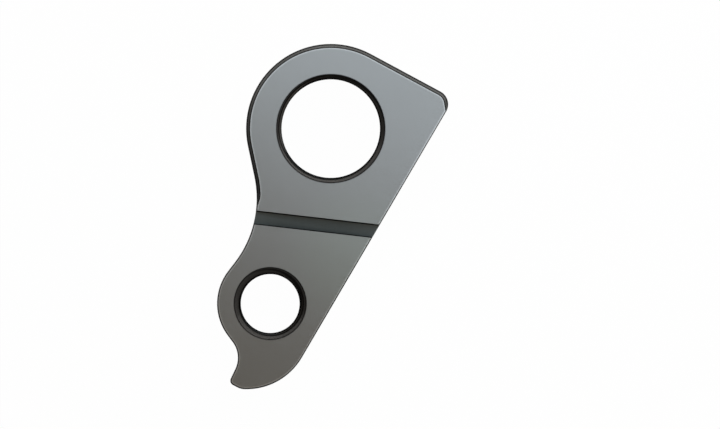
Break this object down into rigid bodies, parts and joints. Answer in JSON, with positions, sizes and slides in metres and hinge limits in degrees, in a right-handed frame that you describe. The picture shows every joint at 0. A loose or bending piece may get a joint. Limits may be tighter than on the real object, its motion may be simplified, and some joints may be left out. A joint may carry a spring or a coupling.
{
  "type": "bicycle derailleur hanger",
  "caption": "Flat aluminium hanger plate with a large threaded axle hole, a smaller derailleur bolt hole, a groove across its neck and a hooked stop.",
  "frame": {"origin": "on the axis of the large axle hole, halfway through the plate", "axes": "+Z along the axle hole towards the face that the derailleur bolts to, +Y along the plate from the derailleur bolt's hole to the top edge, +X towards the long straight side; the plate lies flat on its back face"},
  "size_m": [0.035, 0.0523, 0.008],
  "materials": {
    "hanger": "satin grey anodised, machined"
  },
  "bodies": {
    "root": {"hanger": "hanger"}
  },
  "joints": []
}
